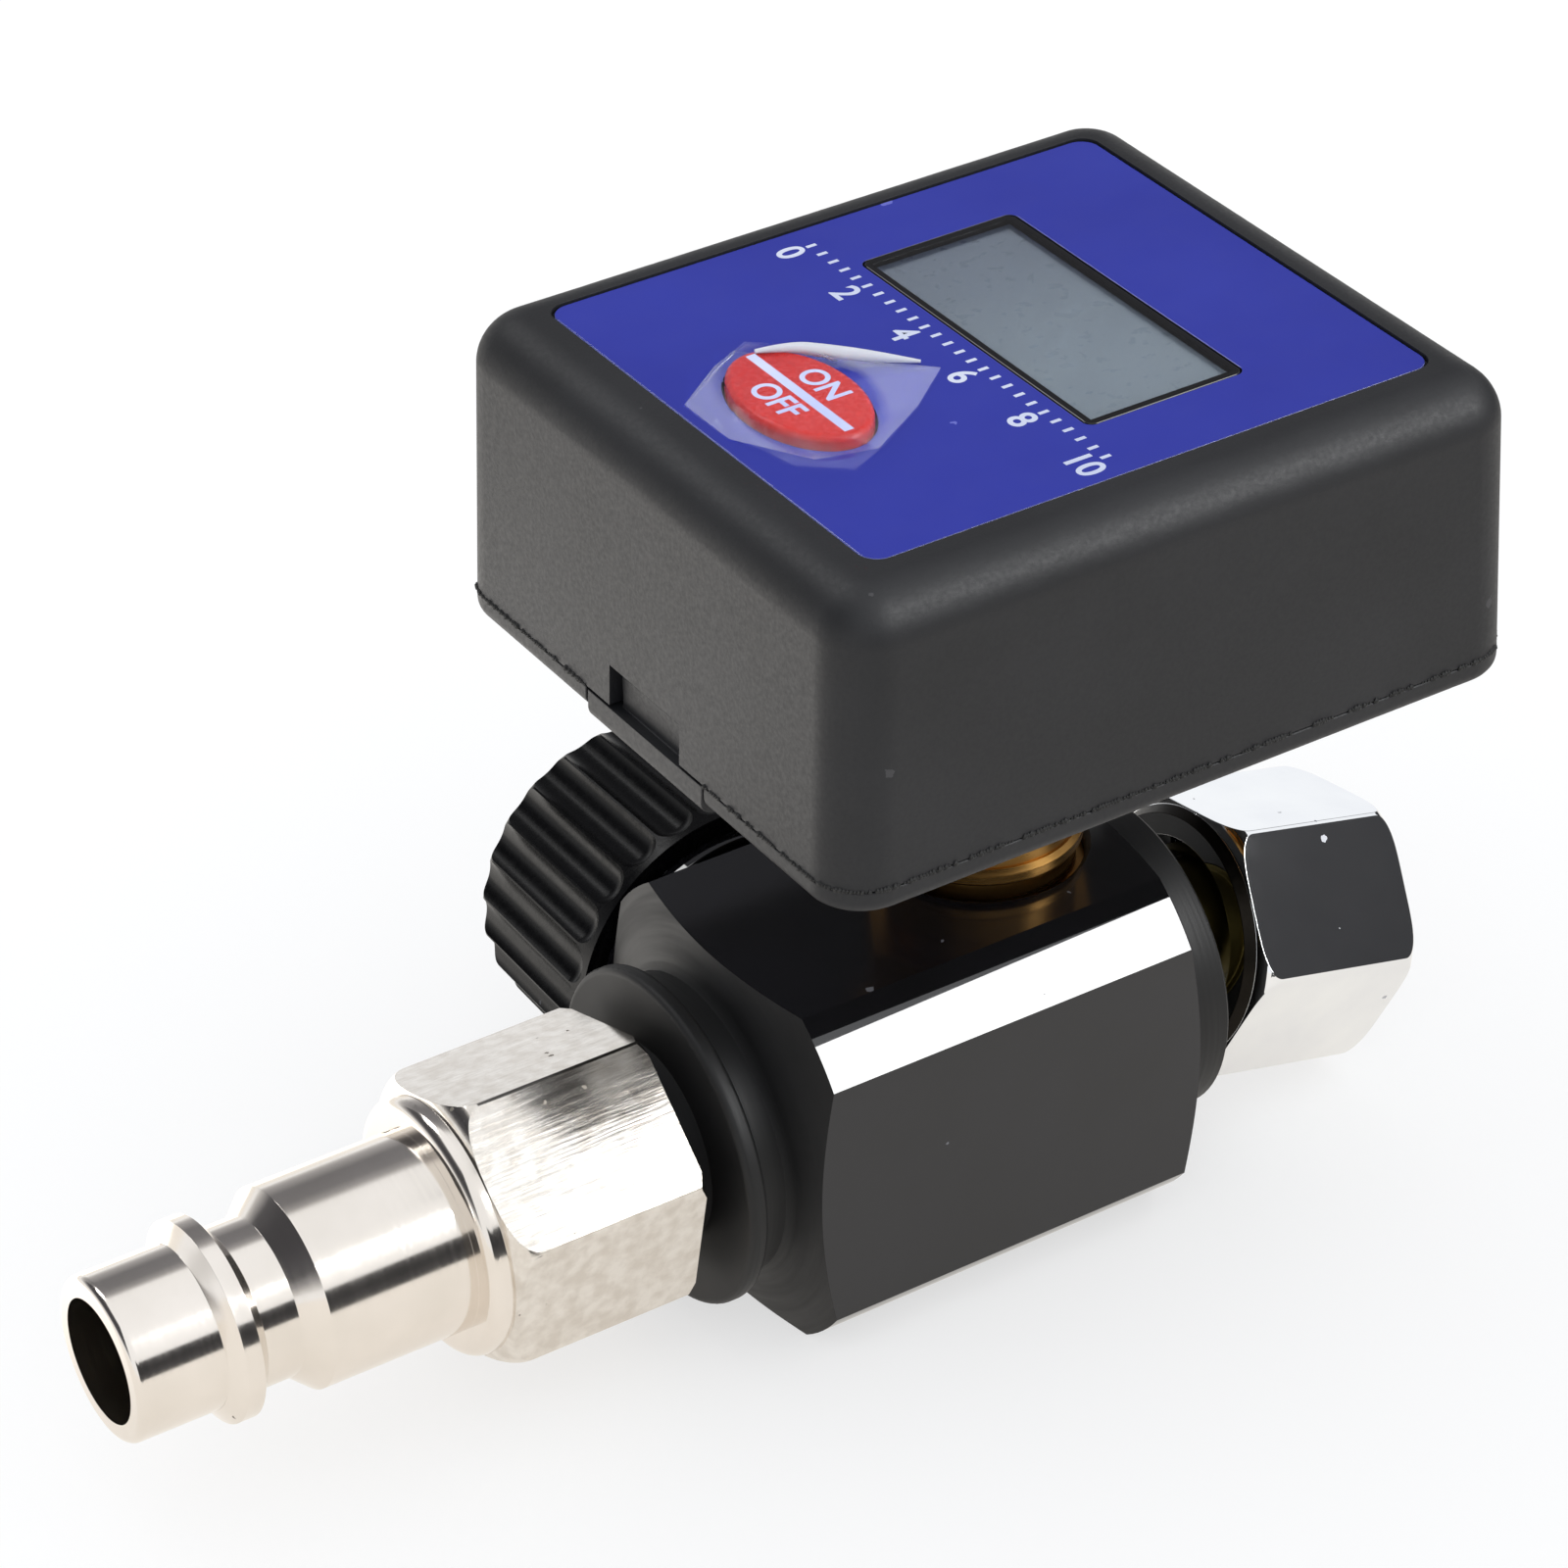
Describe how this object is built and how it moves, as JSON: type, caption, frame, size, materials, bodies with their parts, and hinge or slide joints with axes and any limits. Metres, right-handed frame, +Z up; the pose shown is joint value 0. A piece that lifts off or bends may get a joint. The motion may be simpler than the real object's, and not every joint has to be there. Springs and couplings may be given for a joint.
{
  "type": "air pressure regulator with digital gauge",
  "caption": "Small inline air pressure regulator with a fluted side knob, a quick-coupling inlet plug, a swivel outlet nut and a square digital pressure gauge on top.",
  "frame": {"origin": "middle of the flat that the regulator body stands on", "axes": "+X the way the air flows, from the inlet plug to the outlet nut, +Y towards the adjusting knob, +Z up towards the gauge"},
  "size_m": [0.0929, 0.0483, 0.0612],
  "materials": {
    "anodised_black": "black anodised, glossy",
    "nickel_plate": "nickel plated, turned",
    "chrome_plate": "chromium plated",
    "turned_brass": "turned",
    "turned_aluminium": "turned",
    "zinc_steel": "zinc plated",
    "seal_rubber": "moulded",
    "moulded_black": "fine textured",
    "blue_label": "printed, glossy",
    "clear_window": "clear, glossy",
    "display_glass": "glossy",
    "red_button": "glossy",
    "clear_film": "clear, thin",
    "green_board": "lacquered"
  },
  "bodies": {
    "regulator": {"regulator_body": "anodised_black", "bonnet": "anodised_black", "inlet_nipple": "nickel_plate", "outlet_tail": "turned_brass", "gauge_stem": "turned_brass", "stem_nut": "turned_brass", "valve_seat": "turned_brass", "case_screws": "zinc_steel", "control_spring": "zinc_steel", "poppet_spring": "zinc_steel", "board_contact": "zinc_steel", "pressure_sensor": "zinc_steel", "coin_cells": "zinc_steel", "seat_seal": "seal_rubber", "lcd_connectors": "seal_rubber", "front_case": "moulded_black", "rear_cover": "moulded_black", "tact_switch": "moulded_black", "face_label": "blue_label", "display_window": "clear_window", "lcd_panel": "display_glass", "button_film": "clear_film", "circuit_board": "green_board"},
    "knob": {"adjusting_knob": "anodised_black", "adjusting_screw": "zinc_steel", "knob_screw": "zinc_steel"},
    "travelling_nut": {"spring_nut": "turned_brass"},
    "sensing_piston": {"piston": "turned_aluminium", "piston_ring": "seal_rubber"},
    "valve_poppet": {"poppet": "turned_brass"},
    "swivel_nut": {"outlet_nut": "chrome_plate"},
    "button": {"reset_button": "red_button", "switch_plunger": "moulded_black"},
    "door": {"battery_door": "moulded_black", "door_contact": "zinc_steel"}
  },
  "joints": [
    {"name": "knob_turn", "type": "hinge", "parent": "regulator", "child": "knob", "pos_m": [-0.0045, 0, 0.0122], "axis": [0, -1, 0], "range_deg": [0, 1080]},
    {"name": "nut_travel", "type": "slide", "parent": "regulator", "child": "travelling_nut", "axis": [0, -1, 0], "range_m": [0, 0.003], "deforming": ["control_spring"]},
    {"name": "piston_stroke", "type": "slide", "parent": "regulator", "child": "sensing_piston", "axis": [0, -1, 0], "range_m": [0, 0.0008], "stiffness_N_per_m": 500},
    {"name": "poppet_lift", "type": "slide", "parent": "regulator", "child": "valve_poppet", "axis": [0, -1, 0], "range_m": [0, 0.0008], "deforming": ["poppet_spring"]},
    {"name": "nut_spin", "type": "hinge", "parent": "regulator", "child": "swivel_nut", "pos_m": [0.02058, 0, 0.0122], "axis": [0.9724, 0, -0.2334], "continuous": true},
    {"name": "button_press", "type": "slide", "parent": "regulator", "child": "button", "axis": [0, 0, -1], "range_m": [0, 0.0004], "stiffness_N_per_m": 800},
    {"name": "door_slide", "type": "slide", "parent": "regulator", "child": "door", "axis": [-1, 0, 0], "range_m": [0, 0.017]}
  ],
  "couplings": [
    {"joint": "nut_travel", "follows": "knob_turn", "m_per_rad": 0.00015915},
    {"joint": "poppet_lift", "follows": "piston_stroke", "ratio": 1}
  ]
}
